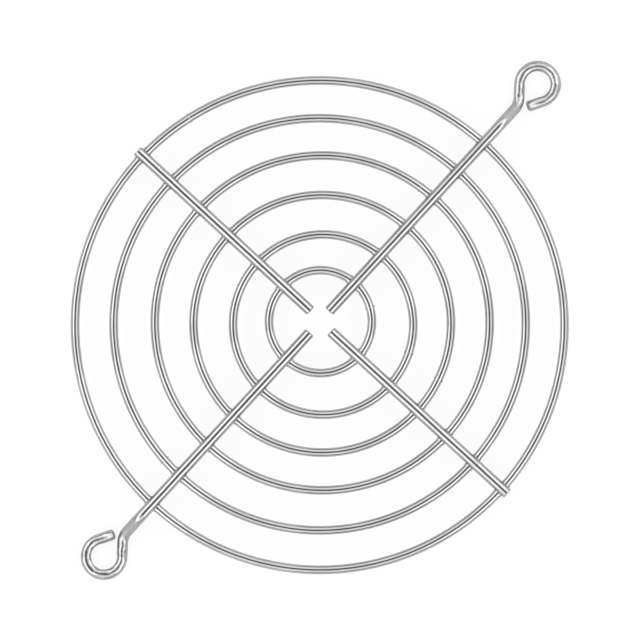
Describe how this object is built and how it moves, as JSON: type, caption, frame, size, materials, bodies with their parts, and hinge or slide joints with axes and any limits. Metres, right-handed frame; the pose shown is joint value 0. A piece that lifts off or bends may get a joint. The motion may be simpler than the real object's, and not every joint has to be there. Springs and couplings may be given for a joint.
{
  "type": "wire fan guard",
  "caption": "Round wire guard for an axial fan: concentric rings welded under crossing spokes, the long ones stepped down to screw eyes.",
  "frame": {"origin": "middle of the fan's 105 mm hole square, on the fan's face, which the undersides of the two eyes touch", "axes": "+Z away from the fan; X and Y along the fan's sides, the eyes on the diagonal through +X +Y"},
  "size_m": [0.1158, 0.1166, 0.0073],
  "materials": {
    "ring_plating": "bright nickel-chrome plate on drawn steel wire",
    "spoke_plating": "bright nickel-chrome plate on drawn steel wire, a little duller at the welds and bends"
  },
  "bodies": {
    "root": {"ring_1": "ring_plating", "ring_2": "ring_plating", "ring_3": "ring_plating", "ring_4": "ring_plating", "ring_5": "ring_plating", "ring_6": "ring_plating", "eye_spoke_upper": "spoke_plating", "eye_spoke_lower": "spoke_plating", "short_spoke_left": "spoke_plating", "short_spoke_right": "spoke_plating"}
  },
  "joints": []
}
